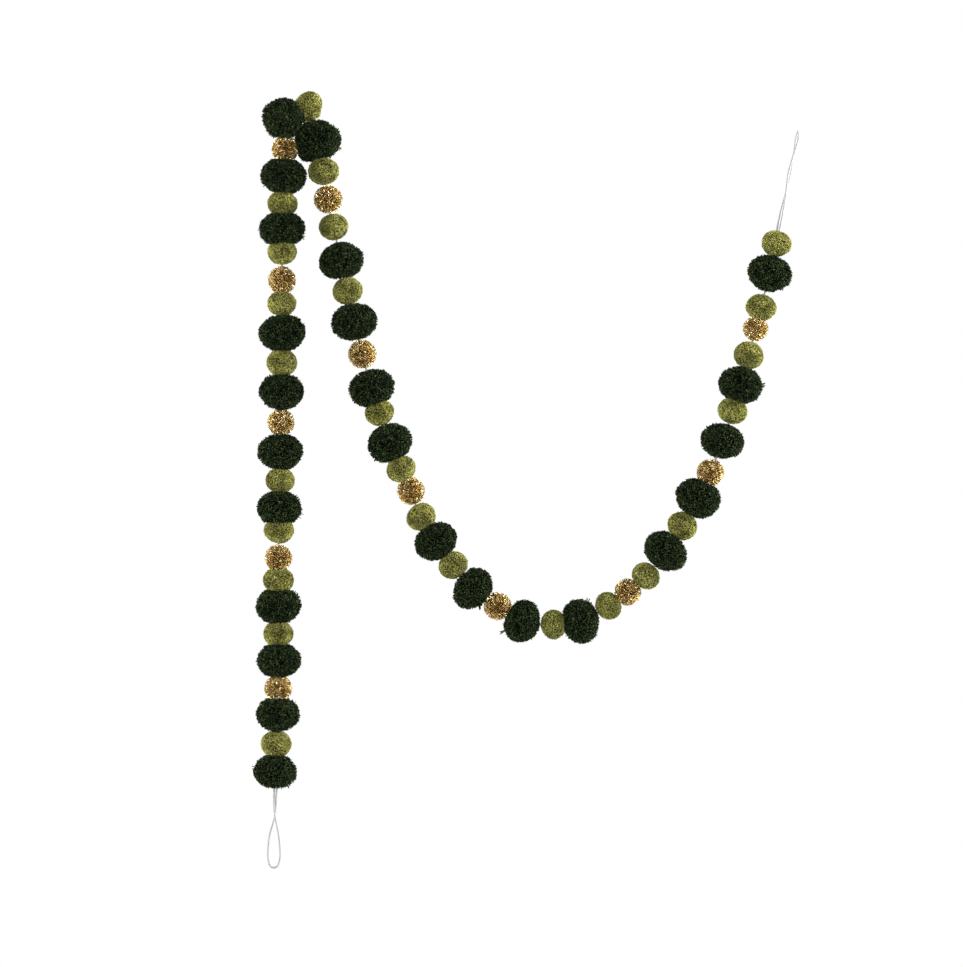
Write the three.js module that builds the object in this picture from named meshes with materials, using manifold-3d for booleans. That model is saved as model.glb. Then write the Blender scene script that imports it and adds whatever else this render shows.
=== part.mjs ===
// Pom pom garland: wool and tinsel pom poms threaded on one white string with a loop at each end.
// Millimetres, +Z up, +X to the viewer's right, and the viewer looks along +Y. The garland hangs in
// the XZ plane. The origin is where its string folds over a hook, and its far loop hangs on another.
import * as THREE from "three";
import { ConvexGeometry } from "three/addons/geometries/ConvexGeometry.js";
import { mergeVertices } from "three/addons/utils/BufferGeometryUtils.js";
import Module from "manifold-3d";

const wasm = await Module();
wasm.setup();

// String
const STRING_DIAMETER = 2.0;
const STRING_SIDES = 8;
const STEPS_PER_SPAN = 2;
const BORE_CLEARANCE = 0.35; // yarn closes round the string at this distance
const BORE_SIDES = 5;
const BORE_OVERRUN = 0.8; // the bore runs this far past each tucked-in end of the string
const STRING_LOOK = { color: 0xd2d1cb, roughness: 0.85, metalness: 0 };

// Pom poms: widths across and along the string before they press on each other. The yarn ends make
// tufts on the surface that differ in height by the trim, and a few longer locks reach past it.
const KINDS = {
  green: {
    across: 45.2,
    along: 36.6,
    tufts: 110,
    trim: 2.8,
    locks: 6,
    lockReach: 0.8,
    look: { color: 0x1c3a20, roughness: 0.95, metalness: 0 },
  },
  olive: {
    across: 29.2,
    along: 25.4,
    tufts: 66,
    trim: 1.2,
    locks: 3,
    lockReach: 0.4,
    look: { color: 0x85853a, roughness: 0.95, metalness: 0 },
  },
  gold: {
    across: 26.6,
    along: 26.0,
    tufts: 68,
    trim: 1.6,
    locks: 6,
    lockReach: 0.6,
    look: { color: 0xb08a4a, roughness: 0.35, metalness: 0.8 },
  },
};
const SIZE_SPREAD = 0.025; // share by which most pom poms are larger or smaller than their kind
const PRESSED_GAP = 0.4; // left between two pom poms that press on each other
const SHARED_OVERLAP = 0.8; // two pom poms of one piece run into each other by this much
const NEAR = 1.35; // pom poms closer than this share of their radii are shaped to clear each other

// The kinds repeat along the string in this order from the lower loop.
const REPEAT = [
  "green", "olive", "green", "gold", "green",
  "olive", "green", "olive", "gold", "olive",
];

// Distance along the string from each pom pom to the next, one row for each repeat.
const PITCH_ROWS = [
  [25.0, 28.0, 23.5, 26.0, 24.5, 26.0, 23.5, 20.5, 26.0, 20.0],
  [26.0, 26.5, 27.0, 28.5, 27.0, 27.5, 27.0, 21.5, 26.5, 21.0],
  [23.5, 25.5, 25.0, 29.5, 34.0, 35.5, 29.0, 26.5, 26.0, 32.0],
  [28.5, 29.0, 31.0, 33.0, 23.5, 29.5, 26.5, 22.0, 26.0, 26.5],
  [27.0, 28.5, 28.0, 27.0, 29.5, 25.0, 29.5, 22.0, 22.5, 29.5],
  [28.0, 29.5, 26.0, 31.5, 29.5, 25.0, 28.5, 25.5, 20.0, 32.5],
  [28.5],
];

// Gold and olive pom poms whose tufts have grown into one piece, by the number of the lower one.
const SHARED = [8, 18, 59];

// Pom poms whose size as a share of their kind's is set by hand.
const OWN_SIZES = [
  { pompom: 1, size: 0.94 },
  { pompom: 2, size: 1.03 },
  { pompom: 3, size: 0.97 },
  { pompom: 5, size: 0.96 },
  { pompom: 12, size: 0.97 },
  { pompom: 15, size: 0.98 },
  { pompom: 18, size: 0.97 },
  { pompom: 25, size: 0.89 },
  { pompom: 28, size: 1.03 },
  { pompom: 34, size: 1.04 },
  { pompom: 35, size: 1.02 },
  { pompom: 41, size: 0.98 },
  { pompom: 43, size: 0.96 },
  { pompom: 45, size: 0.94 },
  { pompom: 48, size: 0.94 },
  { pompom: 50, size: 0.96 },
  { pompom: 52, size: 1.03 },
  { pompom: 55, size: 0.95 },
  { pompom: 59, size: 0.92 },
  { pompom: 61, size: 0.96 },
];

// Long stray locks: which pom pom, the direction in degrees from +X towards +Z, and the distance of
// the tip from the middle.
const STRAYS = [
  { pompom: 1, turn: 173, reach: 23.5 },
  { pompom: 11, turn: -16, reach: 24.5 },
  { pompom: 11, turn: 36, reach: 22.5 },
  { pompom: 21, turn: -21, reach: 24.5 },
  { pompom: 25, turn: 78, reach: 20.5 },
  { pompom: 25, turn: 60, reach: 21.5 },
  { pompom: 25, turn: 46, reach: 23.0 },
  { pompom: 25, turn: 38, reach: 22.0 },
  { pompom: 25, turn: -8, reach: 22.5 },
  { pompom: 25, turn: -53, reach: 22.5 },
  { pompom: 26, turn: -80, reach: 15.5 },
  { pompom: 27, turn: -17, reach: 24.5 },
  { pompom: 27, turn: 27, reach: 24.0 },
  { pompom: 27, turn: 122, reach: 22.5 },
  { pompom: 27, turn: 132, reach: 22.5 },
  { pompom: 27, turn: 172, reach: 23.5 },
  { pompom: 27, turn: -121, reach: 23.0 },
  { pompom: 37, turn: -130, reach: 24.5 },
  { pompom: 42, turn: 17, reach: 16.5 },
  { pompom: 43, turn: -67, reach: 23.5 },
  { pompom: 45, turn: -153, reach: 25.0 },
  { pompom: 47, turn: 70, reach: 24.5 },
  { pompom: 47, turn: -84, reach: 22.5 },
  { pompom: 51, turn: -52, reach: 23.5 },
  { pompom: 57, turn: -2, reach: 25.0 },
  { pompom: 57, turn: -46, reach: 23.0 },
  { pompom: 60, turn: 152, reach: 16.0 },
];

// Pom poms that sit askew on the string: which one, and the direction of its own axis.
const ASKEW = [{ pompom: 25, axis: [0.25, 0.9, 0.35] }];

// Route of the string: x, y, z in order, from the end tucked into the first pom pom to the end
// tucked into the last one.
const LOWER_LOOP = [
  [-17.2, 0, -621.6],
  [-18.1, 0, -638.3],
  [-19.6, 1.2, -656.6],
  [-24.6, 0.4, -675.3],
  [-25.7, 0, -697.0],
  [-23.0, 0, -704.0],
  [-18.0, 0, -704.0],
  [-15.0, 0, -697.2],
  [-15.9, -0.4, -675.3],
  [-19.6, -1.2, -655.7],
  [-20.5, 0, -638.3],
];
const THREADED = [
  [-19.4, 0, -615.2],
  [-16.4, 0, -537.9],
  [-16.4, 0, -438.5],
  [-13.4, 0, -264.1],
  [-12.4, 0, -90.2],
  [-10.2, 0, -39.8],
  [-12.9, -6.0, -12.6],
  [0, 0, 0],
  [11.0, 10.0, 1.4],
  [20.3, 5.0, -31.8],
  [29.6, 0, -85.6],
  [41.6, 0, -142.5],
  [61.1, 0, -228.9],
  [86.5, 0, -310.8],
  [105.7, 0, -354.6],
  [115.6, 0, -379.8],
  [162.8, 0, -445.6],
  [186.0, 0, -462.4],
  [209.2, 0, -477.0],
  [263.5, 0, -476.5],
  [288.6, 0, -462.5],
  [323.3, 0, -434.8],
  [372.1, 0, -362.8],
  [403.8, 0, -282.1],
  [444.5, 0, -127.2],
];
const UPPER_LOOP = [
  [450.6, -1.1, -97.1],
  [453.2, -1.25, -80.5],
  [455.3, -1.1, -62.9],
  [460.7, -1.25, -43.5],
  [464.6, -3.6, -29.4],
  [464.4, 0, -23.4],
  [462.8, 3.6, -29.2],
  [460.7, 1.25, -43.3],
  [457.5, 1.1, -62.9],
  [453.2, 1.25, -80.7],
  [448.6, 1.1, -97.1],
  [443.8, 0.8, -119.5],
];
const ROUTE = [...LOWER_LOOP, ...THREADED, ...UPPER_LOOP].map((p) => new THREE.Vector3(...p));
const FIRST_POMPOM = LOWER_LOOP.length; // the route's point in the middle of the first pom pom

// A smooth curve through the route whose evenly spaced parameters fall on the route's own points,
// so that a swept tube takes its short steps in the loops and its long ones on the straight runs.
class SteppedRoute extends THREE.CatmullRomCurve3 {
  getUtoTmapping(u) {
    return u;
  }
}

// Repeatable number from 0 to 1 for a whole number.
function chance(seed) {
  const wave = Math.sin(seed * 12.9898 + 4.1414) * 43758.5453;
  return wave - Math.floor(wave);
}

// Direction in the garland's plane, in degrees from +X towards +Z.
function inPlane(degrees) {
  const turn = THREE.MathUtils.degToRad(degrees);
  return new THREE.Vector3(Math.cos(turn), 0, Math.sin(turn));
}

function tube(points, radius, sides) {
  const section = new THREE.Shape();
  for (let i = 0; i < sides; i++) {
    const turn = (2 * Math.PI * i) / sides;
    const x = radius * Math.cos(turn);
    const y = radius * Math.sin(turn);
    if (i) section.lineTo(x, y);
    else section.moveTo(x, y);
  }
  section.closePath();
  return new THREE.ExtrudeGeometry(section, {
    steps: STEPS_PER_SPAN * (points.length - 1),
    extrudePath: new SteppedRoute(points, false, "centripetal"),
  });
}

// The route with both ends carried on a little, for the bore that the string lies in.
function lengthened(points) {
  const carriedOn = (end, next) => end.clone().add(end.clone().sub(next).setLength(BORE_OVERRUN));
  const last = points.length - 1;
  return [
    carriedOn(points[0], points[1]),
    ...points.slice(1, last),
    carriedOn(points[last], points[last - 1]),
  ];
}

function solidOf(geometry) {
  const bare = geometry.clone();
  bare.deleteAttribute("normal");
  bare.deleteAttribute("uv");
  const merged = mergeVertices(bare);
  return new wasm.Manifold(
    new wasm.Mesh({
      numProp: 3,
      vertProperties: merged.attributes.position.array,
      triVerts: new Uint32Array(merged.index.array),
    }),
  );
}

function geometryOf(solid) {
  const mesh = solid.getMesh();
  const geometry = new THREE.BufferGeometry();
  geometry.setAttribute("position", new THREE.BufferAttribute(mesh.vertProperties, 3));
  geometry.setIndex(new THREE.BufferAttribute(mesh.triVerts, 1));
  geometry.computeVertexNormals();
  return geometry;
}

// Ball of radius 1 with its corners spread evenly over it, and local Y along the string.
function unitBall(corners) {
  const goldenAngle = Math.PI * (3 - Math.sqrt(5));
  const points = [];
  for (let i = 0; i < corners; i++) {
    const height = 1 - (2 * i + 1) / corners;
    const ring = Math.sqrt(1 - height * height);
    const turn = i * goldenAngle;
    points.push(new THREE.Vector3(ring * Math.cos(turn), height, ring * Math.sin(turn)));
  }
  const hull = new ConvexGeometry(points);
  hull.deleteAttribute("normal");
  return mergeVertices(hull);
}

const BALLS = Object.fromEntries(
  Object.entries(KINDS).map(([name, kind]) => [name, unitBall(kind.tufts)]),
);

// Every pom pom in order: its kind, its place and direction on the string, and its own size.
function strungPompoms() {
  const route = new THREE.CatmullRomCurve3(ROUTE, false, "centripetal");
  const finer = 200;
  const lengths = route.getLengths(finer * (ROUTE.length - 1));
  const whole = lengths[lengths.length - 1];
  let station = lengths[finer * FIRST_POMPOM];
  route.arcLengthDivisions = lengths.length - 1;
  const pitches = [0, ...PITCH_ROWS.flat()];
  return pitches.map((pitch, i) => {
    station += pitch;
    const kindName = REPEAT[i % REPEAT.length];
    const kind = KINDS[kindName];
    const own = OWN_SIZES.find(({ pompom }) => pompom === i + 1);
    const size = own ? own.size : 1 + SIZE_SPREAD * (2 * chance(i + 1) - 1);
    const askew = ASKEW.find(({ pompom }) => pompom === i + 1);
    const axis = askew ? new THREE.Vector3(...askew.axis) : route.getTangentAt(station / whole);
    return {
      number: i + 1,
      kindName,
      kind,
      middle: route.getPointAt(station / whole),
      turned: new THREE.Quaternion().setFromUnitVectors(new THREE.Vector3(0, 1, 0), axis.normalize()),
      radii: new THREE.Vector3(kind.across, kind.along, kind.across).multiplyScalar(size / 2),
    };
  });
}

// Distance from the middle of a pom pom to its full, unpressed surface along a direction.
function radiusTowards(pompom, direction) {
  const local = direction.clone().applyQuaternion(pompom.turned.clone().invert());
  return 1 / local.divide(pompom.radii).length();
}

// Planes that a pom pom stays behind, each halfway to a near neighbour, in its own frame.
function contactPlanes(pompom, all) {
  const planes = [];
  for (const other of all) {
    if (other === pompom) continue;
    const towards = other.middle.clone().sub(pompom.middle);
    const distance = towards.length();
    towards.normalize();
    const mine = radiusTowards(pompom, towards);
    const theirs = radiusTowards(other, towards.clone().negate());
    if (distance > NEAR * (mine + theirs)) continue;
    const lower = Math.min(pompom.number, other.number);
    const joined = SHARED.includes(lower) && Math.abs(pompom.number - other.number) === 1;
    const gap = joined ? -SHARED_OVERLAP : PRESSED_GAP;
    planes.push({
      normal: towards.applyQuaternion(pompom.turned.clone().invert()),
      limit: (distance + mine - theirs - gap) / 2,
    });
  }
  return planes;
}

function keptBehind(point, planes) {
  for (const { normal, limit } of planes) {
    const past = point.dot(normal) - limit;
    if (past > 0) point.addScaledVector(normal, -past);
  }
  return point;
}

// Directions and tip distances of a pom pom's locks: its strays first, then others spread round it.
function lockTips(pompom) {
  const inverse = pompom.turned.clone().invert();
  const tips = STRAYS.filter((stray) => stray.pompom === pompom.number).map((stray) => {
    return { towards: inPlane(stray.turn).applyQuaternion(inverse), reach: stray.reach };
  });
  for (let i = tips.length; i < pompom.kind.locks; i++) {
    const seed = 40 * pompom.number + i;
    const height = 1.2 * chance(seed) - 0.6;
    const turn = (2 * Math.PI * (i + chance(seed + 0.5))) / pompom.kind.locks;
    const ring = Math.sqrt(1 - height * height);
    const towards = new THREE.Vector3(ring * Math.cos(turn), height, ring * Math.sin(turn));
    const surface = 1 / towards.clone().divide(pompom.radii).length();
    tips.push({ towards, reach: surface + pompom.kind.lockReach });
  }
  return tips;
}

// A lumpy ball of tufts with three-sided locks raised on some of its faces.
function tuftedBall(pompom, planes) {
  const ball = BALLS[pompom.kindName];
  const corners = ball.attributes.position;
  const points = [];
  for (let i = 0; i < corners.count; i++) {
    const point = new THREE.Vector3().fromBufferAttribute(corners, i).multiply(pompom.radii);
    const cut = pompom.kind.trim * chance(977 * pompom.number + i);
    points.push(keptBehind(point.setLength(point.length() - cut), planes));
  }

  const faces = [];
  for (let i = 0; i < ball.index.count; i += 3)
    faces.push([0, 1, 2].map((k) => ball.index.getX(i + k)));
  const middles = faces.map((face) =>
    face.reduce((sum, k) => sum.add(points[k]), new THREE.Vector3()).normalize(),
  );
  const tipOf = new Map();
  for (const { towards, reach } of lockTips(pompom)) {
    let best = -1;
    middles.forEach((middle, k) => {
      if (tipOf.has(k)) return;
      if (best < 0 || middle.dot(towards) > middles[best].dot(towards)) best = k;
    });
    tipOf.set(best, keptBehind(towards.clone().setLength(reach), planes));
  }

  const triangles = [];
  faces.forEach((face, k) => {
    if (!tipOf.has(k)) {
      triangles.push(...face);
      return;
    }
    const tip = points.push(tipOf.get(k)) - 1;
    face.forEach((corner, side) => triangles.push(corner, face[(side + 1) % 3], tip));
  });
  const geometry = new THREE.BufferGeometry().setFromPoints(points);
  geometry.setIndex(triangles);
  return geometry;
}

function meshOf(name, geometry, look) {
  const mesh = new THREE.Mesh(geometry, new THREE.MeshStandardMaterial(look));
  mesh.name = name;
  return mesh;
}

const twoDigits = (number) => String(number).padStart(2, "0");

const garland = new THREE.Group();
garland.add(meshOf("string", tube(ROUTE, STRING_DIAMETER / 2, STRING_SIDES), STRING_LOOK));

const boreRadius = (STRING_DIAMETER / 2 + BORE_CLEARANCE) / Math.cos(Math.PI / BORE_SIDES);
const bore = tube(lengthened(ROUTE), boreRadius, BORE_SIDES);

const pompoms = strungPompoms();
for (const pompom of pompoms) {
  if (SHARED.includes(pompom.number - 1)) continue;
  const placed = new THREE.Matrix4().makeRotationFromQuaternion(pompom.turned);
  placed.setPosition(pompom.middle);
  const toLocal = placed.clone().invert();

  let solid = solidOf(tuftedBall(pompom, contactPlanes(pompom, pompoms)));
  let name = `pompom_${twoDigits(pompom.number)}_${pompom.kindName}`;
  if (SHARED.includes(pompom.number)) {
    const next = pompoms[pompom.number];
    const moved = new THREE.Matrix4().makeRotationFromQuaternion(next.turned);
    moved.setPosition(next.middle).premultiply(toLocal);
    const neighbour = tuftedBall(next, contactPlanes(next, pompoms)).applyMatrix4(moved);
    solid = solid.add(solidOf(neighbour));
    name += `_${twoDigits(next.number)}_${next.kindName}`;
  }
  solid = solid.subtract(solidOf(bore.clone().applyMatrix4(toLocal)));

  const mesh = meshOf(name, geometryOf(solid), pompom.kind.look);
  mesh.position.copy(pompom.middle);
  mesh.quaternion.copy(pompom.turned);
  garland.add(mesh);
}

export default garland;
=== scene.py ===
# Pom pom garland: wool and tinsel pom poms threaded on one white string with a loop at each end.
# Metres, +Z up. The garland hangs in the XZ plane, and the camera looks along +Y.
import math

import bmesh
import bpy
import numpy as np
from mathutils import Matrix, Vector


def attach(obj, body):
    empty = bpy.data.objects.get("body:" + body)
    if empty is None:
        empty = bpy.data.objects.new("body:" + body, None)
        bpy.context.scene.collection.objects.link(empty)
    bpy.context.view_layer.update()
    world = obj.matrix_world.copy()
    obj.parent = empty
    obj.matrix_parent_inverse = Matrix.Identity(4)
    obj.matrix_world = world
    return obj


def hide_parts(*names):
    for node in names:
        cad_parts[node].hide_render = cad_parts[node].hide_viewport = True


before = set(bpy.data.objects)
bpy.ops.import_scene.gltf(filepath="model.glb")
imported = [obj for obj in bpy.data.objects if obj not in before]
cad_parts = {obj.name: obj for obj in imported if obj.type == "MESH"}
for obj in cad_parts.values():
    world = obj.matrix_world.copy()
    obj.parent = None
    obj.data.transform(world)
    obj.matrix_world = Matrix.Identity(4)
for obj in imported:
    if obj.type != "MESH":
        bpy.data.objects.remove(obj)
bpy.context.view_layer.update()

MM = 0.001

# String: its route in millimetres, from the end tucked into the first pom pom to the end tucked
# into the last one.
STRING_DIAMETER = 2.0 * MM
LOWER_LOOP = [
    (-17.2, 0, -621.6),
    (-18.1, 0, -638.3),
    (-19.6, 1.2, -656.6),
    (-24.6, 0.4, -675.3),
    (-25.7, 0, -697.0),
    (-23.0, 0, -704.0),
    (-18.0, 0, -704.0),
    (-15.0, 0, -697.2),
    (-15.9, -0.4, -675.3),
    (-19.6, -1.2, -655.7),
    (-20.5, 0, -638.3),
]
THREADED = [
    (-19.4, 0, -615.2),
    (-16.4, 0, -537.9),
    (-16.4, 0, -438.5),
    (-13.4, 0, -264.1),
    (-12.4, 0, -90.2),
    (-10.2, 0, -39.8),
    (-12.9, -6.0, -12.6),
    (0, 0, 0),
    (11.0, 10.0, 1.4),
    (20.3, 5.0, -31.8),
    (29.6, 0, -85.6),
    (41.6, 0, -142.5),
    (61.1, 0, -228.9),
    (86.5, 0, -310.8),
    (105.7, 0, -354.6),
    (115.6, 0, -379.8),
    (162.8, 0, -445.6),
    (186.0, 0, -462.4),
    (209.2, 0, -477.0),
    (263.5, 0, -476.5),
    (288.6, 0, -462.5),
    (323.3, 0, -434.8),
    (372.1, 0, -362.8),
    (403.8, 0, -282.1),
    (444.5, 0, -127.2),
]
UPPER_LOOP = [
    (450.6, -1.1, -97.1),
    (453.2, -1.25, -80.5),
    (455.3, -1.1, -62.9),
    (460.7, -1.25, -43.5),
    (464.6, -3.6, -29.4),
    (464.4, 0, -23.4),
    (462.8, 3.6, -29.2),
    (460.7, 1.25, -43.3),
    (457.5, 1.1, -62.9),
    (453.2, 1.25, -80.7),
    (448.6, 1.1, -97.1),
    (443.8, 0.8, -119.5),
]
ROUTE = np.array(LOWER_LOOP + THREADED + UPPER_LOOP, float) * MM
FIRST_POMPOM = len(LOWER_LOOP)  # the route's point in the middle of the first pom pom
LAST_THREADED = FIRST_POMPOM + len(THREADED) - 1
ROUTE_STEPS = 200  # steps of the measured line between two points of the route
STRING_SIDES = 12
STRING_PLIES = 3
PLY_GROOVE = 0.06  # share of the radius by which the plies stand out
PLY_PITCH = 5.2 * MM
LOOP_STEP = 1.1 * MM  # between the sections of the string in a loop
THREADED_STEP = 2.4 * MM  # and where it runs inside the pom poms
TANGENT_STEP = 0.3 * MM  # either way from the place where its direction is taken

REPEAT = ["green", "olive", "green", "gold", "green", "olive", "green", "olive", "gold", "olive"]

# Distance in millimetres along the string from each pom pom to the next, one row for each repeat.
PITCH_ROWS = [
    [25.0, 28.0, 23.5, 26.0, 24.5, 26.0, 23.5, 20.5, 26.0, 20.0],
    [26.0, 26.5, 27.0, 28.5, 27.0, 27.5, 27.0, 21.5, 26.5, 21.0],
    [23.5, 25.5, 25.0, 29.5, 34.0, 35.5, 29.0, 26.5, 26.0, 32.0],
    [28.5, 29.0, 31.0, 33.0, 23.5, 29.5, 26.5, 22.0, 26.0, 26.5],
    [27.0, 28.5, 28.0, 27.0, 29.5, 25.0, 29.5, 22.0, 22.5, 29.5],
    [28.0, 29.5, 26.0, 31.5, 29.5, 25.0, 28.5, 25.5, 20.0, 32.5],
    [28.5],
]
SIZE_SPREAD = 0.025  # share by which most pom poms are larger or smaller than their kind
NEAR = 1.35  # pom poms closer than this share of their radii press on each other
AXIS_STEP = 0.5 * MM  # either way from its middle, where a pom pom takes the string's direction
POMPOM_SEEDS = 1000  # its number is added to this for a pom pom's own seed

# Pom poms. A strand runs from its root in the core to a blunt cut end. Strands grow in tufts: they
# leave one root and spread apart towards their ends, and a few lie loose across the others.
KINDS = {
    "green": {
        "across": 45.2 * MM,
        "along": 36.6 * MM,
        "tufts": 600,
        "strands": 7,  # in each tuft
        "spread": 1.5 * MM,  # how far a tuft's ends stand from its middle
        "width": 1.15 * MM,
        "flatness": 0.75,  # thickness as a share of the width
        "lean": 1.5 * MM,  # how far an end leans to one side
        "loose": 0.12,  # share of the strands that lie across the others
        "loose_lean": 3.6 * MM,
        "inset": 0.6 * MM,  # how far inside the full width the longest strands end
        "trim": 3.6 * MM,  # how much shorter the shortest strands are
        "lump": 0.6 * MM,  # height of the low swells of its surface
        "core": 0.74,  # radius of the core as a share of the pom pom's
        "locks": 6,
        "lock_reach": 0.6 * MM,  # how far a lock's tip passes the full surface
    },
    "olive": {
        "across": 29.2 * MM,
        "along": 25.4 * MM,
        "tufts": 560,
        "strands": 5,
        "spread": 0.8 * MM,
        "width": 1.1 * MM,
        "flatness": 0.8,
        "lean": 0.6 * MM,
        "loose": 0.08,
        "loose_lean": 1.8 * MM,
        "inset": 0.4 * MM,
        "trim": 1.0 * MM,
        "lump": 0.25 * MM,
        "core": 0.85,
        "locks": 3,
        "lock_reach": 0.2 * MM,
    },
    "gold": {
        "across": 26.6 * MM,
        "along": 26.0 * MM,
        "tufts": 1700,
        "strands": 2,
        "spread": 1.2 * MM,
        "width": 0.95 * MM,
        "flatness": 0.12,
        "lean": 3.0 * MM,
        "loose": 0.4,
        "loose_lean": 5.0 * MM,
        "inset": 0.2 * MM,
        "trim": 1.8 * MM,
        "lump": 0.2 * MM,
        "core": 0.7,
        "locks": 6,
        "lock_reach": 0.5 * MM,
    },
}

# Pom poms whose size, as a share of their kind's, is given one by one.
OWN_SIZES = [
    {"pompom": 1, "size": 0.94},
    {"pompom": 2, "size": 1.03},
    {"pompom": 3, "size": 0.97},
    {"pompom": 5, "size": 0.96},
    {"pompom": 12, "size": 0.97},
    {"pompom": 15, "size": 0.98},
    {"pompom": 18, "size": 0.97},
    {"pompom": 25, "size": 0.89},
    {"pompom": 28, "size": 1.03},
    {"pompom": 34, "size": 1.04},
    {"pompom": 35, "size": 1.02},
    {"pompom": 41, "size": 0.98},
    {"pompom": 43, "size": 0.96},
    {"pompom": 45, "size": 0.94},
    {"pompom": 48, "size": 0.94},
    {"pompom": 50, "size": 0.96},
    {"pompom": 52, "size": 1.03},
    {"pompom": 55, "size": 0.95},
    {"pompom": 59, "size": 0.92},
    {"pompom": 61, "size": 0.96},
]

# Long stray locks: which pom pom, the direction in degrees from +X towards +Z, and the distance of
# the tip from the middle in millimetres.
STRAYS = [
    {"pompom": 1, "turn": 173, "reach": 23.5},
    {"pompom": 11, "turn": -16, "reach": 24.5},
    {"pompom": 11, "turn": 36, "reach": 22.5},
    {"pompom": 21, "turn": -21, "reach": 24.5},
    {"pompom": 25, "turn": 78, "reach": 20.5},
    {"pompom": 25, "turn": 60, "reach": 21.5},
    {"pompom": 25, "turn": 46, "reach": 23.0},
    {"pompom": 25, "turn": 38, "reach": 22.0},
    {"pompom": 25, "turn": -8, "reach": 22.5},
    {"pompom": 25, "turn": -53, "reach": 22.5},
    {"pompom": 26, "turn": -80, "reach": 15.5},
    {"pompom": 27, "turn": -17, "reach": 24.5},
    {"pompom": 27, "turn": 27, "reach": 24.0},
    {"pompom": 27, "turn": 122, "reach": 22.5},
    {"pompom": 27, "turn": 132, "reach": 22.5},
    {"pompom": 27, "turn": 172, "reach": 23.5},
    {"pompom": 27, "turn": -121, "reach": 23.0},
    {"pompom": 37, "turn": -130, "reach": 24.5},
    {"pompom": 42, "turn": 17, "reach": 16.5},
    {"pompom": 43, "turn": -67, "reach": 23.5},
    {"pompom": 45, "turn": -153, "reach": 25.0},
    {"pompom": 47, "turn": 70, "reach": 24.5},
    {"pompom": 47, "turn": -84, "reach": 22.5},
    {"pompom": 51, "turn": -52, "reach": 23.5},
    {"pompom": 57, "turn": -2, "reach": 25.0},
    {"pompom": 57, "turn": -46, "reach": 23.0},
    {"pompom": 60, "turn": 152, "reach": 16.0},
]

# Pom poms that sit askew on the string: which one, and the direction of its own axis.
ASKEW = [{"pompom": 25, "axis": (0.25, 0.9, 0.35)}]

LOCK_STRANDS = 7
LOCK_SPREAD = 0.9 * MM  # how far a lock's ends stand from its middle
LOCK_LEAN = 1.0 * MM
LOCK_BAND = 1.2  # height of the band that holds the seeded locks, as a share of the radius
LOCK_SEEDS = 40  # numbers kept for the locks of each pom pom
LOCK_TRIM = 0.12  # how much shorter a lock's shortest strands are, as a share of the half width
LOCK_PALEST = 0.4  # lowest tone of a lock's strands
LOCK_INSET = 1.4 * MM  # how far inside its reach a lock's longest strand ends
TUFT_SCATTER = 0.35  # how far a tuft stands from its even place, as a share of its spread
ROOT_DEPTHS = (0.8, 0.95)  # where strands start, as shares of the core's radius
STRAND_WIDTHS = (0.75, 1.25)  # thinnest and thickest strand, as shares of the width
LIKE_TUFT = 0.5  # how far a strand takes its length, lean and tone from its tuft
LEAN_SCALE = 1.4  # makes up for what the mixing with the tuft's lean takes away
CUT_POWER = 1.3  # over 1, most strands are nearly full length
GOLDEN_ANGLE = math.pi * (3 - math.sqrt(5))
LUMP_WAVES = 5
LUMP_PITCH = 4.0  # radians of a wave from a ball's middle to its pole
UNEVEN_CUT = 0.3  # how unevenly a strand is cut across, as a share of its width
CONTACT_REACH = 0.3 * MM  # how much further strands reach where a neighbour is near
FOLD = (25, 26, 27)  # the crowded pom poms at the fold
FOLD_REACH = 2.0 * MM  # and how much further theirs reach, so that they close up
CONTACT_FACING = 0.6  # cosine of the widest angle to a neighbour at which a strand reaches further
CONTACT_FADE = 0.25  # rise of that cosine over which it comes to reach fully further
CONTACT_RAGGED = 0.9 * MM  # how unevenly strands end where two pom poms press together
RAGGED_RANGE = (-0.6, 0.8)  # from short of the contact plane to past it, as shares of that
CONTACT_SPLAY = 0.6  # how far pressed strands slide outwards, as a share of the pressed length
BORE_RADIUS = 1.35 * MM
CORE_RINGS = 10
CORE_SIDES = 16
CORE_EDGE = 1.35  # radians from the core's widest ring to the ring that meets the bore
CORE_SWELL = 0.05  # how unevenly the core's surface stands, as a share of its radius
CORE_CLEAR = 2.0 * MM  # left between the core and a contact plane
CORE_RISE = 0.12  # the core is shaded like this far up a strand
TONE_COLUMN = 1 / 48  # width of one strand's column in the flat map
MAP_MARGIN = 0.01

# Camera: 967 pixels of the picture's long side take in this much of the garland's plane.
PICTURE_SIDE = 0.8945
PICTURE_MIDDLE = (0.1716, -0.3492)  # x and z
CAMERA_DISTANCE = 4.0
CAMERA_REACH = 50.0
SENSOR = 36.0

FLOOR_HEIGHT = -1.6
FLOOR_RADIUS = 4.0
FLOOR_SIDES = 96
EVEN_LIGHT = 0.31  # strength of the light from all round


def length_of(vectors):
    return np.linalg.norm(vectors, axis=-1, keepdims=True)


def unit(vectors):
    return vectors / np.maximum(length_of(vectors), 1e-12)


def chance(seed):
    """Repeatable number from 0 to 1 for a whole number."""
    wave = math.sin(seed * 12.9898 + 4.1414) * 43758.5453
    return wave - math.floor(wave)


def in_plane(degrees):
    """Direction in the garland's plane, in degrees from +X towards +Z."""
    turn = math.radians(degrees)
    return np.array([math.cos(turn), 0, math.sin(turn)])


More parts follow.
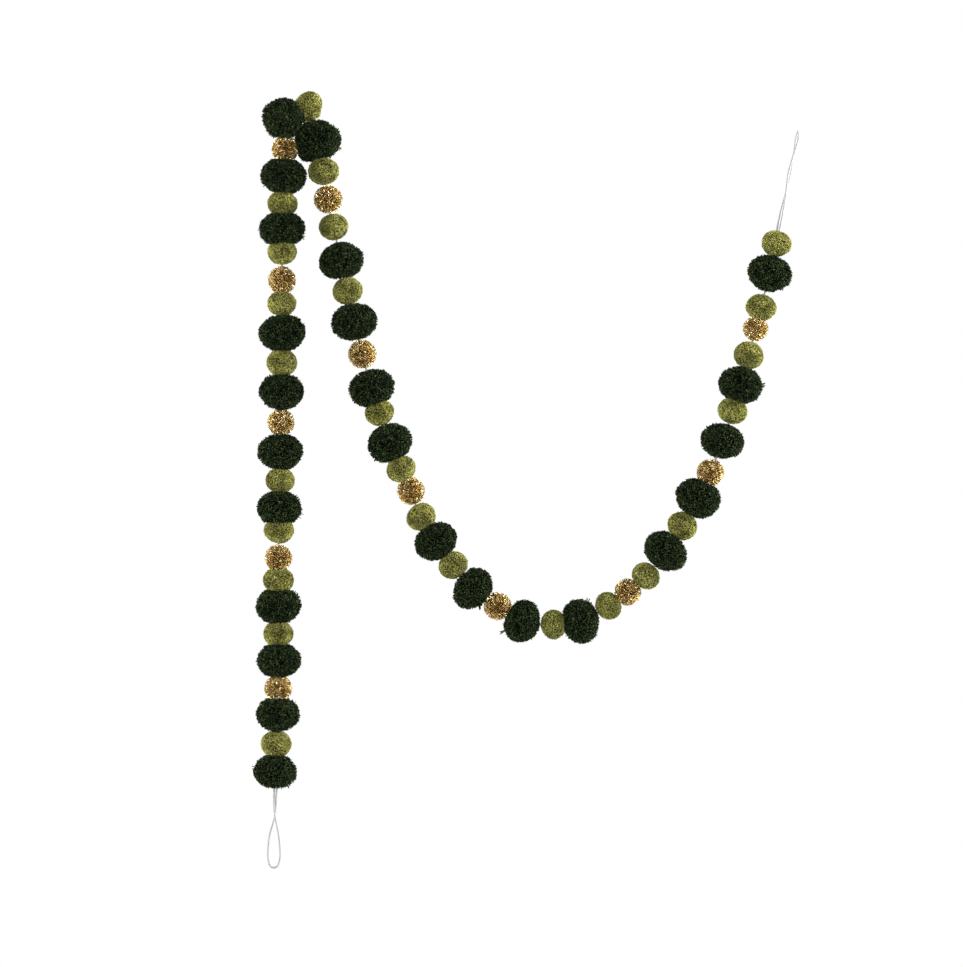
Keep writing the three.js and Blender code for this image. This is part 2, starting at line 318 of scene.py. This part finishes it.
def route_line():
    """The string's middle line: a centripetal curve through the route, in even steps of each span."""
    before_first = 2 * ROUTE[0] - ROUTE[1]
    after_last = 2 * ROUTE[-1] - ROUTE[-2]
    points = np.vstack([before_first, ROUTE, after_last])
    share = (np.arange(ROUTE_STEPS) / ROUTE_STEPS)[:, None]
    line = []
    for p0, p1, p2, p3 in zip(points, points[1:], points[2:], points[3:]):
        d0, d1, d2 = (math.sqrt(np.linalg.norm(b - a)) for a, b in ((p0, p1), (p1, p2), (p2, p3)))
        t1 = ((p1 - p0) / d0 - (p2 - p0) / (d0 + d1) + (p2 - p1) / d1) * d1
        t2 = ((p2 - p1) / d1 - (p3 - p1) / (d1 + d2) + (p3 - p2) / d2) * d1
        square = -3 * p1 + 3 * p2 - 2 * t1 - t2
        cube = 2 * p1 - 2 * p2 + t1 + t2
        line.append(p1 + t1 * share + square * share**2 + cube * share**3)
    return np.vstack([*line, ROUTE[-1:]])


LINE = route_line()
RUN = np.concatenate([[0], np.cumsum(length_of(np.diff(LINE, axis=0)))])


def on_line(stations):
    """Points of the string's middle line at these distances along it."""
    return np.stack([np.interp(stations, RUN, LINE[:, axis]) for axis in range(3)], -1)


def strung_pompoms():
    """Every pom pom in order: its kind, its place and direction on the string, and its own size."""
    station = RUN[ROUTE_STEPS * FIRST_POMPOM]
    pitches = [0] + [pitch for row in PITCH_ROWS for pitch in row]
    strung = []
    for index, pitch in enumerate(pitches):
        station += pitch * MM
        kind_name = REPEAT[index % len(REPEAT)]
        kind = KINDS[kind_name]
        size = 1 + SIZE_SPREAD * (2 * chance(index + 1) - 1)
        for own in OWN_SIZES:
            if own["pompom"] == index + 1:
                size = own["size"]
        axis = on_line(station + AXIS_STEP) - on_line(station - AXIS_STEP)
        for askew in ASKEW:
            if askew["pompom"] == index + 1:
                axis = askew["axis"]
        turned = Vector((0, 1, 0)).rotation_difference(Vector(axis)).to_matrix()
        strung.append({
            "number": index + 1,
            "kind_name": kind_name,
            "kind": kind,
            "middle": on_line(station),
            "turned": np.array(turned),
            "radii": np.array([kind["across"], kind["along"], kind["across"]]) * size / 2,
        })
    return strung


def surface(pompom, directions):
    """Distance from the middle to the full, unpressed surface along directions in its own frame."""
    return 1 / length_of(directions / pompom["radii"])


def contact_planes(pompom, strung):
    """Normals and distances of the planes halfway to near neighbours, in the pom pom's own frame."""
    planes = []
    for other in strung:
        if other is pompom:
            continue
        towards = other["middle"] - pompom["middle"]
        distance = np.linalg.norm(towards)
        towards = towards / distance
        mine = surface(pompom, towards @ pompom["turned"])[0]
        theirs = surface(other, -towards @ other["turned"])[0]
        if distance < NEAR * (mine + theirs):
            planes.append((towards @ pompom["turned"], (distance + mine - theirs) / 2))
    return planes


def kept_behind(points, planes, random):
    """Points past a contact plane slide back to it and outwards along it, each to its own depth."""
    for normal, limit in planes:
        own_limit = limit + random.uniform(*RAGGED_RANGE, (len(points), 1)) * CONTACT_RAGGED
        past = np.maximum(points @ normal[:, None] - own_limit, 0)
        outwards = unit(points - (points @ normal[:, None]) * normal)
        points = points - past * normal + CONTACT_SPLAY * past * outwards
    return points


def spread_evenly(count, random):
    """Unit directions spread evenly over a ball."""
    number = np.arange(count)
    height = 1 - (2 * number + 1) / count
    turn = number * GOLDEN_ANGLE + random.uniform(0, 2 * math.pi)
    ring = np.sqrt(1 - height**2)
    return np.stack([ring * np.cos(turn), height, ring * np.sin(turn)], 1)


def lumps(directions, height, random):
    """Low swells of a ball's surface."""
    swell = np.zeros((len(directions), 1))
    for _ in range(LUMP_WAVES):
        axis = unit(random.normal(size=3))
        swell += np.sin(LUMP_PITCH * directions @ axis + random.uniform(0, 2 * math.pi))[:, None]
    return height * swell / math.sqrt(LUMP_WAVES)


def locks(pompom):
    """Directions and reaches of the locks that stand out: strays first, then others round it."""
    kind = pompom["kind"]
    found = []
    for stray in STRAYS:
        if stray["pompom"] == pompom["number"]:
            found.append((in_plane(stray["turn"]) @ pompom["turned"], stray["reach"] * MM))
    for i in range(len(found), kind["locks"]):
        seed = LOCK_SEEDS * pompom["number"] + i
        height = LOCK_BAND * chance(seed) - LOCK_BAND / 2
        turn = 2 * math.pi * (i + chance(seed + 0.5)) / kind["locks"]
        ring = math.sqrt(1 - height * height)
        towards = np.array([ring * math.cos(turn), height, ring * math.sin(turn)])
        found.append((towards, surface(pompom, towards)[0] + kind["lock_reach"]))
    return found


def strand_lines(pompom, planes, random):
    """Root and end of every strand, and a tone from 0 to 1 for each."""
    kind = pompom["kind"]
    size = kind["across"] / 2
    tufts = spread_evenly(kind["tufts"], random)
    tufts = unit(tufts + random.normal(size=tufts.shape) * TUFT_SCATTER * kind["spread"] / size)
    tuft_lean = random.normal(size=tufts.shape)
    tuft_cut, tuft_tone = random.uniform(0, 1, (2, len(tufts), 1))
    each = np.repeat(np.arange(len(tufts)), kind["strands"])
    roots = tufts[each]
    ends = unit(roots + random.normal(size=roots.shape) * kind["spread"] / size)
    reach = surface(pompom, ends) + lumps(ends, kind["lump"], random)
    own_cut, own_tone = random.uniform(0, 1, (2, *reach.shape))
    cut = LIKE_TUFT * tuft_cut[each] + (1 - LIKE_TUFT) * own_cut
    further = FOLD_REACH if pompom["number"] in FOLD else CONTACT_REACH
    for normal, limit in planes:
        facing = ends @ normal[:, None]
        short = np.clip(limit / np.maximum(facing, 0.1) - reach, 0, further)
        reach += short * np.clip((facing - CONTACT_FACING) / CONTACT_FADE, 0, 1)
    reach -= kind["inset"] + kind["trim"] * cut**CUT_POWER
    loose = random.uniform(0, 1, reach.shape) < kind["loose"]
    lean = LIKE_TUFT * tuft_lean[each] + (1 - LIKE_TUFT) * random.normal(size=roots.shape)
    lean *= LEAN_SCALE * np.where(loose, kind["loose_lean"], kind["lean"])
    tone = LIKE_TUFT * tuft_tone[each] + (1 - LIKE_TUFT) * own_tone

    for towards, lock_reach in locks(pompom):
        lock = np.tile(unit(towards), (LOCK_STRANDS, 1))
        spread = random.normal(size=lock.shape) * LOCK_SPREAD / size
        roots = np.vstack([roots, unit(lock + 0.5 * spread)])
        ends = np.vstack([ends, unit(lock + spread)])
        cut = LOCK_INSET + random.uniform(0, LOCK_TRIM, (LOCK_STRANDS, 1)) * size
        reach = np.vstack([reach, lock_reach - cut])
        lean = np.vstack([lean, random.normal(size=lock.shape) * LOCK_LEAN])
        tone = np.vstack([tone, random.uniform(LOCK_PALEST, 1, (LOCK_STRANDS, 1))])

    lean -= (lean * ends).sum(1, keepdims=True) * ends
    core = kind["core"] * surface(pompom, roots) * random.uniform(*ROOT_DEPTHS, reach.shape)
    ends = unit(ends * reach + lean) * reach
    return roots * core, kept_behind(ends, planes, random), tone


def strand_mesh(roots, ends, width, flatness, random):
    """Closed three-sided strands, pointed at the root and cut blunt at the end, and how far up each
    point is."""
    count = len(roots)
    axis = unit(ends - roots)
    across = unit(np.cross(axis, random.normal(size=axis.shape)))
    through = np.cross(axis, across)
    wide = width * random.uniform(*STRAND_WIDTHS, (count, 1)) / 2
    points = [roots]
    for corner in range(3):
        turn = 2 * math.pi * corner / 3
        aside = wide * (math.cos(turn) * across + flatness * math.sin(turn) * through)
        cut = width * UNEVEN_CUT * random.uniform(-1, 1, (count, 1))
        points.append(ends + aside + cut * axis)
    faces = np.array([(0, 2, 1), (0, 3, 2), (0, 1, 3), (1, 2, 3)])
    triangles = (4 * np.arange(count)[:, None, None] + faces).reshape(-1, 3)
    rise = np.tile([0.0, 1.0, 1.0, 1.0], (count, 1))
    return np.stack(points, 1).reshape(-1, 3), triangles, rise.ravel()


def core_mesh(pompom, planes, random):
    """A lumpy ring of packed yarn round the string, closed and facing out."""
    kind = pompom["kind"]
    angles = np.linspace(-CORE_EDGE, CORE_EDGE, CORE_RINGS)
    radius, height = pompom["radii"][0] * kind["core"], pompom["radii"][1] * kind["core"]
    profile = [(BORE_RADIUS, height * math.sin(angles[0]))]
    profile += [(radius * math.cos(a), height * math.sin(a)) for a in angles]
    profile += [(BORE_RADIUS, height * math.sin(angles[-1]))]
    turns = 2 * math.pi * np.arange(CORE_SIDES) / CORE_SIDES
    points = np.array([(r * math.cos(t), h, -r * math.sin(t)) for r, h in profile for t in turns])
    swell = 1 + random.uniform(-CORE_SWELL, CORE_SWELL, (len(points), 1))
    swell[:CORE_SIDES] = 1
    swell[-CORE_SIDES:] = 1
    points *= swell
    for normal, limit in planes:
        past = np.maximum(points @ normal[:, None] - (limit - CORE_CLEAR), 0)
        points = points - past * normal
    triangles = []
    for ring in range(len(profile)):
        upper = (ring + 1) % len(profile)
        for side in range(CORE_SIDES):
            near, far = side, (side + 1) % CORE_SIDES
            corners = [ring * CORE_SIDES + near, ring * CORE_SIDES + far]
            corners += [upper * CORE_SIDES + far, upper * CORE_SIDES + near]
            triangles.append((corners[0], corners[1], corners[2]))
            triangles.append((corners[0], corners[2], corners[3]))
    return points, np.array(triangles)


def mesh_object(name, points, triangles, smooth, material):
    mesh = bpy.data.meshes.new(name)
    mesh.vertices.add(len(points))
    mesh.vertices.foreach_set("co", np.asarray(points, np.float32).ravel())
    mesh.loops.add(3 * len(triangles))
    mesh.loops.foreach_set("vertex_index", np.asarray(triangles, np.int32).ravel())
    mesh.polygons.add(len(triangles))
    mesh.polygons.foreach_set("loop_start", np.arange(0, 3 * len(triangles), 3, dtype=np.int32))
    mesh.polygons.foreach_set("use_smooth", np.full(len(triangles), smooth))
    mesh.update(calc_edges=True)
    mesh.materials.append(material)
    made = bpy.data.objects.new(name, mesh)
    bpy.context.scene.collection.objects.link(made)
    return made


def colour_points(mesh, rise, tone):
    """Stores how far up its strand each point is, and the strand's tone, as a colour."""
    colours = np.stack([rise, tone, np.zeros(len(rise)), np.ones(len(rise))], 1)
    layer = mesh.color_attributes.new(name="fibre", type="FLOAT_COLOR", domain="POINT")
    layer.data.foreach_set("color", colours.astype(np.float32).ravel())


def lay_out(mesh, triangles, rise, tone):
    """Flat map of the strands: across by tone, in columns with some width, and up from root to tip."""
    corners = triangles.ravel()
    side = np.tile([0.0, 0.5, 1.0], len(triangles))
    across = tone[corners] * (1 - TONE_COLUMN) + TONE_COLUMN * side
    layer = mesh.uv_layers.new(name="OFBake")
    flat = np.stack([across, MAP_MARGIN + (1 - 2 * MAP_MARGIN) * rise[corners]], 1)
    layer.uv.foreach_set("vector", flat.astype(np.float32).ravel())


def pompom_object(pompom, strung, materials):
    """One pom pom: its core and all its strands, in one mesh."""
    random = np.random.default_rng(POMPOM_SEEDS + pompom["number"])
    kind = pompom["kind"]
    planes = contact_planes(pompom, strung)
    roots, ends, tone = strand_lines(pompom, planes, random)
    points, triangles, rise = strand_mesh(roots, ends, kind["width"], kind["flatness"], random)
    tone = np.repeat(tone.ravel(), 4)
    core_points, core_triangles = core_mesh(pompom, planes, random)
    triangles = np.vstack([triangles, core_triangles + len(points)])
    points = np.vstack([points, core_points])
    rise = np.concatenate([rise, np.full(len(core_points), CORE_RISE)])
    tone = np.concatenate([tone, random.uniform(0, 1, len(core_points))])
    placed = points @ pompom["turned"].T + pompom["middle"]
    name = f"{pompom['kind_name']}_pompom_{pompom['number']:02d}"
    made = mesh_object(name, placed, triangles, False, materials[pompom["kind_name"]])
    colour_points(made.data, rise, tone)
    lay_out(made.data, triangles, rise, tone)
    return made


def node_of(pompom):
    """Name of the frame's node that holds this pom pom."""
    return next(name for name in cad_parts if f"_{pompom['number']:02d}_" in name)


def string_stations():
    """Distances along the string of its sections: close together in the loops, wider where threaded."""
    ends = [0, RUN[ROUTE_STEPS * FIRST_POMPOM], RUN[ROUTE_STEPS * LAST_THREADED], RUN[-1]]
    stations = []
    for start, end, step in zip(ends, ends[1:], (LOOP_STEP, THREADED_STEP, LOOP_STEP)):
        stations.append(np.linspace(start, end, math.ceil((end - start) / step), endpoint=False))
    return np.concatenate([*stations, [ends[-1]]])


def string_object(material):
    """The string: a closed tube whose section is the plies' lobes, turning as it goes along."""
    stations = string_stations()
    middles = on_line(stations)
    ahead = on_line(np.minimum(stations + TANGENT_STEP, RUN[-1]))
    behind = on_line(np.maximum(stations - TANGENT_STEP, 0))
    tangents = unit(ahead - behind)
    across = unit(np.cross(tangents[0], (0, 1, 0)))
    points, twist = [], []
    for middle, tangent, station in zip(middles, tangents, stations):
        across = unit(across - (across @ tangent) * tangent)
        through = np.cross(tangent, across)
        turned = 2 * math.pi * station / PLY_PITCH
        for side in range(STRING_SIDES):
            turn = 2 * math.pi * side / STRING_SIDES
            crest = abs(math.cos(STRING_PLIES * (turn - turned / STRING_PLIES) / 2))
            lobe = 1 - PLY_GROOVE * (1 - crest)
            radius = STRING_DIAMETER / 2 * lobe
            points.append(middle + radius * (math.cos(turn) * across + math.sin(turn) * through))
            twist.append(lobe)
    rings = len(stations)
    triangles = []
    for ring in range(rings - 1):
        for side in range(STRING_SIDES):
            near, far = ring * STRING_SIDES + side, ring * STRING_SIDES + (side + 1) % STRING_SIDES
            triangles.append((near, far, far + STRING_SIDES))
            triangles.append((near, far + STRING_SIDES, near + STRING_SIDES))
    for side in range(1, STRING_SIDES - 1):
        triangles.append((0, side + 1, side))
        last = (rings - 1) * STRING_SIDES
        triangles.append((last, last + side, last + side + 1))
    made = mesh_object("hanging_string", np.array(points), triangles, True, material)
    groove = (np.array(twist) - (1 - PLY_GROOVE)) / PLY_GROOVE
    colour_points(made.data, groove, np.zeros(len(points)))
    return made


def new_material(name):
    material = bpy.data.materials.new(name)
    material.use_nodes = True
    nodes = material.node_tree.nodes
    shader = nodes["Principled BSDF"]
    return material, nodes, material.node_tree.links, shader


def ramp(nodes, stops):
    """Colour ramp with these places and colours."""
    node = nodes.new("ShaderNodeValToRGB")
    elements = node.color_ramp.elements
    for element, (place, colour) in zip(elements, (stops[0], stops[-1])):
        element.position = place
        element.color = (*colour, 1)
    for place, colour in stops[1:-1]:
        elements.new(place).color = (*colour, 1)
    return node


def fibre_values(nodes, links):
    """The stored way up the strand and the strand's tone, as two outputs."""
    stored = nodes.new("ShaderNodeAttribute")
    stored.attribute_name = "fibre"
    parts = nodes.new("ShaderNodeSeparateColor")
    links.new(stored.outputs["Color"], parts.inputs[0])
    return parts.outputs[0], parts.outputs[1]


def grain(nodes, links, scale, detail):
    """Noise in the object's own coordinates, with this many grains a metre."""
    place = nodes.new("ShaderNodeTexCoord")
    noise = nodes.new("ShaderNodeTexNoise")
    noise.inputs["Scale"].default_value = scale
    noise.inputs["Detail"].default_value = detail
    links.new(place.outputs["Object"], noise.inputs["Vector"])
    return noise.outputs[0]


def mixed(nodes, links, kind, factor, first, second):
    """Two colour outputs mixed by a number or by another output."""
    mix = nodes.new("ShaderNodeMix")
    mix.data_type = "RGBA"
    mix.blend_type = kind
    for socket, value in ((mix.inputs[0], factor), (mix.inputs[6], first), (mix.inputs[7], second)):
        if isinstance(value, bpy.types.NodeSocket):
            links.new(value, socket)
        else:
            socket.default_value = value
    return mix.outputs[2]


def bumped(nodes, links, shader, height, distance, strength):
    bump = nodes.new("ShaderNodeBump")
    bump.inputs["Distance"].default_value = distance
    bump.inputs["Strength"].default_value = strength
    links.new(height, bump.inputs["Height"])
    links.new(bump.outputs[0], shader.inputs["Normal"])


def wool(name, plain_stops, pale_and_sheen_stops, pale_and_sheen_from, sheen, speckle, patch_grain, patch):
    """Yarn: darker towards the roots as painted shade, lighter at the cut ends, each strand in its own
    tone, and downy.
    """
    material, nodes, links, shader = new_material(name)
    rise, tone = fibre_values(nodes, links)
    # Strands of high tone take the pale ramp. These are partly paler fibres of the yarn and partly
    # painted sheen highlights.
    plain, pale_and_sheen = ramp(nodes, plain_stops), ramp(nodes, pale_and_sheen_stops)
    # Painted shade: both ramps darken towards a strand's root inside the ball, and the core takes their
    # darkest colour.
    links.new(rise, plain.inputs[0])
    links.new(rise, pale_and_sheen.inputs[0])
    share = ramp(nodes, [(pale_and_sheen_from, (0, 0, 0)), (1.0, (1, 1, 1))])
    links.new(tone, share.inputs[0])
    toned = mixed(nodes, links, "MIX", share.outputs[0], plain.outputs[0], pale_and_sheen.outputs[0])
    specks = grain(nodes, links, 1400, 3)
    shade = ramp(nodes, [(0.3, (speckle[0],) * 3), (0.7, (speckle[1],) * 3)])
    links.new(specks, shade.inputs[0])
    speckled = mixed(nodes, links, "MULTIPLY", 1.0, toned, shade.outputs[0])
    patches = ramp(nodes, [(0.36, (patch[0],) * 3), (0.64, (patch[1],) * 3)])
    links.new(grain(nodes, links, patch_grain, 2), patches.inputs[0])
    colour = mixed(nodes, links, "MULTIPLY", 1.0, speckled, patches.outputs[0])
    links.new(colour, shader.inputs["Base Color"])
    shader.inputs["Roughness"].default_value = 0.92
    shader.inputs["Specular IOR Level"].default_value = 0.15
    shader.inputs["Sheen Weight"].default_value = sheen
    shader.inputs["Sheen Tint"].default_value = (*pale_and_sheen_stops[-1][1], 1)
    shader.inputs["Sheen Roughness"].default_value = 0.45
    bumped(nodes, links, shader, specks, 0.2 * MM, 0.6)
    return material


def tinsel():
    """Crinkled metal foil strips from bronze to pale gold, darkened towards their roots as painted
    shade.
    """
    material, nodes, links, shader = new_material("gold_tinsel")
    rise, tone = fibre_values(nodes, links)
    foil = ramp(nodes, [
        (0.14, (0.30, 0.155, 0.045)),
        (0.38, (0.74, 0.52, 0.20)),
        (0.60, (1.0, 0.86, 0.46)),
        (0.82, (1.0, 0.97, 0.78)),
    ])
    links.new(tone, foil.inputs[0])
    # Painted shade: the foil darkens towards a strip's root, deep inside the ball.
    depth = ramp(nodes, [(0.2, (0.24, 0.15, 0.07)), (0.75, (1, 1, 1))])
    links.new(rise, depth.inputs[0])
    colour = mixed(nodes, links, "MULTIPLY", 1.0, foil.outputs[0], depth.outputs[0])
    links.new(colour, shader.inputs["Base Color"])
    shader.inputs["Metallic"].default_value = 0.9
    shader.inputs["Roughness"].default_value = 0.16
    shader.inputs["Coat Weight"].default_value = 0.2
    shader.inputs["Coat Roughness"].default_value = 0.12
    bumped(nodes, links, shader, grain(nodes, links, 900, 2), 0.3 * MM, 0.5)
    return material


def cotton():
    """Twisted cotton: shaded between its plies, with a fine fuzz."""
    material, nodes, links, shader = new_material("cotton_string")
    groove, _ = fibre_values(nodes, links)
    shade = ramp(nodes, [
        (0.0, (0.45, 0.45, 0.445)),
        (0.6, (0.50, 0.50, 0.49)),
        (1.0, (0.52, 0.52, 0.51)),
    ])
    links.new(groove, shade.inputs[0])
    fuzz = grain(nodes, links, 2600, 3)
    fleck = ramp(nodes, [(0.3, (0.9, 0.9, 0.9)), (0.7, (1.05, 1.05, 1.05))])
    links.new(fuzz, fleck.inputs[0])
    colour = mixed(nodes, links, "MULTIPLY", 1.0, shade.outputs[0], fleck.outputs[0])
    links.new(colour, shader.inputs["Base Color"])
    shader.inputs["Roughness"].default_value = 0.9
    shader.inputs["Specular IOR Level"].default_value = 0.2
    shader.inputs["Sheen Weight"].default_value = 0.2
    bumped(nodes, links, shader, fuzz, 0.15 * MM, 0.6)
    return material


def add_camera():
    data = bpy.data.cameras.new("camera")
    data.sensor_width = SENSOR
    data.lens = SENSOR * CAMERA_DISTANCE / PICTURE_SIDE
    data.clip_end = CAMERA_REACH
    camera = bpy.data.objects.new("camera", data)
    camera.location = (PICTURE_MIDDLE[0], -CAMERA_DISTANCE, PICTURE_MIDDLE[1])
    camera.rotation_euler = (math.pi / 2, 0, 0)
    bpy.context.scene.collection.objects.link(camera)
    bpy.context.scene.camera = camera


def add_softbox(name, place, size, power):
    """A large square light that faces the middle of the garland."""
    data = bpy.data.lights.new(name, "AREA")
    data.size = size
    data.energy = power
    light = bpy.data.objects.new(name, data)
    light.location = place
    middle = Vector((PICTURE_MIDDLE[0], 0, PICTURE_MIDDLE[1]))
    light.rotation_euler = (middle - light.location).to_track_quat("-Z", "Y").to_euler()
    light.visible_camera = False
    bpy.context.scene.collection.objects.link(light)


def add_surroundings():
    """White where the camera looks past the garland, and a dimmer, even light on it."""
    world = bpy.data.worlds.new("studio")
    world.use_nodes = True
    bpy.context.scene.world = world
    nodes, links = world.node_tree.nodes, world.node_tree.links
    lit = nodes["Background"]
    lit.inputs["Color"].default_value = (1, 1, 1, 1)
    lit.inputs["Strength"].default_value = EVEN_LIGHT
    seen = nodes.new("ShaderNodeBackground")
    seen.inputs["Color"].default_value = (1, 1, 1, 1)
    seen.inputs["Strength"].default_value = 1.0
    rays = nodes.new("ShaderNodeLightPath")
    either = nodes.new("ShaderNodeMixShader")
    links.new(rays.outputs["Is Camera Ray"], either.inputs[0])
    links.new(lit.outputs[0], either.inputs[1])
    links.new(seen.outputs[0], either.inputs[2])
    links.new(either.outputs[0], nodes["World Output"].inputs["Surface"])


def add_floor():
    form = bmesh.new()
    bmesh.ops.create_circle(form, cap_ends=True, segments=FLOOR_SIDES, radius=FLOOR_RADIUS)
    mesh = bpy.data.meshes.new("floor")
    form.to_mesh(mesh)
    form.free()
    floor = bpy.data.objects.new("floor", mesh)
    floor.location = (PICTURE_MIDDLE[0], 0, FLOOR_HEIGHT)
    bpy.context.scene.collection.objects.link(floor)
    material, _, _, shader = new_material("floor")
    shader.inputs["Base Color"].default_value = (0.9, 0.9, 0.89, 1)
    shader.inputs["Roughness"].default_value = 0.9
    mesh.materials.append(material)


add_camera()
bpy.context.scene.view_settings.view_transform = "Standard"

string = string_object(cotton())
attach(string, "root")
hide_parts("string")

# Wool ramps run from a strand's root to its cut end; their dark colours near the root are painted
# shade.
MATERIALS = {
    "green": wool(
        "green_wool",
        [(0.4, (0.0008, 0.0018, 0.0007)), (0.85, (0.004, 0.010, 0.003)), (1.0, (0.012, 0.026, 0.007))],
        [(0.4, (0.0024, 0.004, 0.0016)), (0.85, (0.018, 0.030, 0.011)), (1.0, (0.12, 0.16, 0.06))],
        pale_and_sheen_from=0.45,
        sheen=0.2,
        speckle=(0.72, 1.2),
        patch_grain=230,
        patch=(0.6, 1.5),
    ),
    "olive": wool(
        "olive_wool",
        [(0.4, (0.115, 0.11, 0.016)), (0.85, (0.185, 0.185, 0.02)), (1.0, (0.32, 0.315, 0.056))],
        [(0.4, (0.15, 0.145, 0.028)), (0.85, (0.31, 0.31, 0.07)), (1.0, (0.62, 0.62, 0.27))],
        pale_and_sheen_from=0.3,
        sheen=0.2,
        speckle=(0.88, 1.1),
        patch_grain=100,
        patch=(0.55, 1.28),
    ),
    "gold": tinsel(),
}

strung = strung_pompoms()
for pompom in strung:
    ball = pompom_object(pompom, strung, MATERIALS)
    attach(ball, "root")
    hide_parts(node_of(pompom))

add_surroundings()
add_softbox("left_softbox", place=(-2.6, 0.3, 0.2), size=2.2, power=130)
add_softbox("right_softbox", place=(1.7, 0.1, 0.3), size=1.6, power=86)
add_softbox("front_softbox", place=(0.0, -2.6, 0.0), size=0.6, power=14)
add_floor()
